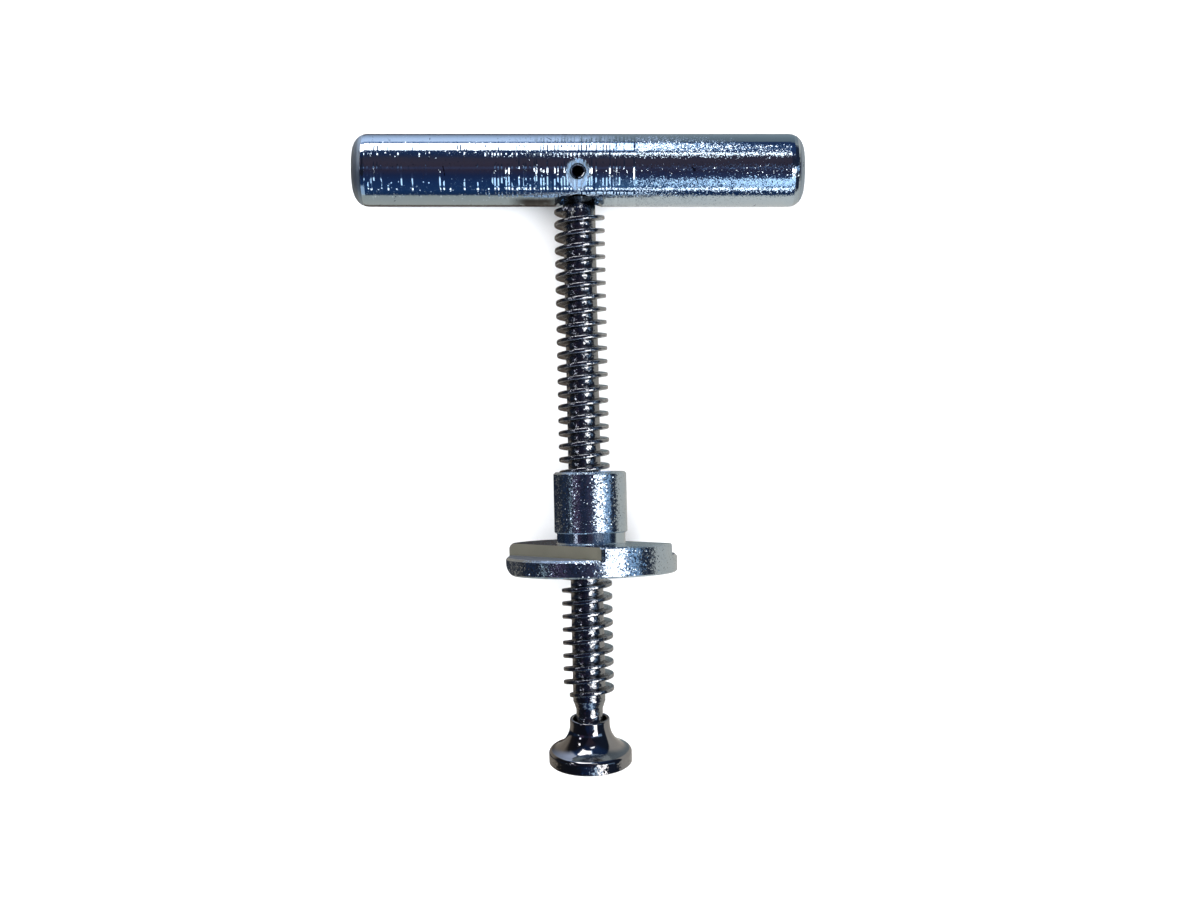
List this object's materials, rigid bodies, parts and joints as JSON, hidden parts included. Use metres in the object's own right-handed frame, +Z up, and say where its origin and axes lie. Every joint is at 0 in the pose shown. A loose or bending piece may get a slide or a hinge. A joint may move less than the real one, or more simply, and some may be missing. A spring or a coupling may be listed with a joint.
{
  "type": "tee screw",
  "caption": "Tee-handled forcing screw: a cross bar pinned to a coarse threaded spindle, with a stepped flange nut and a swivelling pressure foot.",
  "frame": {"origin": "on the floor, under the middle of the part's box as it lies on its cross bar and on the flange's rim", "axes": "+X along the cross bar, +Y from the foot towards the cross bar, +Z up"},
  "size_m": [0.0872, 0.1218, 0.0334],
  "materials": {
    "bar": "bright blue-tinted zinc over a turned surface",
    "pin": "dark rolled spring steel",
    "spindle": "dark blackish nickel, glossy on crests and root",
    "nut": "speckled bright zinc, matte on the step walls",
    "foot": "polished dark nickel"
  },
  "bodies": {
    "nut": {"flanged_nut": "nut"},
    "foot": {"swivel_foot": "foot"},
    "spindle": {"screw_spindle": "spindle", "cross_bar": "bar", "spring_pin": "pin"}
  },
  "joints": [
    {"name": "screw_travel", "type": "slide", "parent": "nut", "child": "foot", "axis": [0.0209, -0.9918, 0.1264], "range_m": [-0.0265, 0.0513]},
    {"name": "screw_turn", "type": "hinge", "parent": "foot", "child": "spindle", "pos_m": [0.00229, -0.05462, 0.02084], "axis": [0.0209, -0.9918, 0.1264], "range_deg": [-3750, 7260]}
  ],
  "couplings": [
    {"joint": "screw_travel", "follows": "screw_turn", "m_per_rad": 0.00040425}
  ]
}
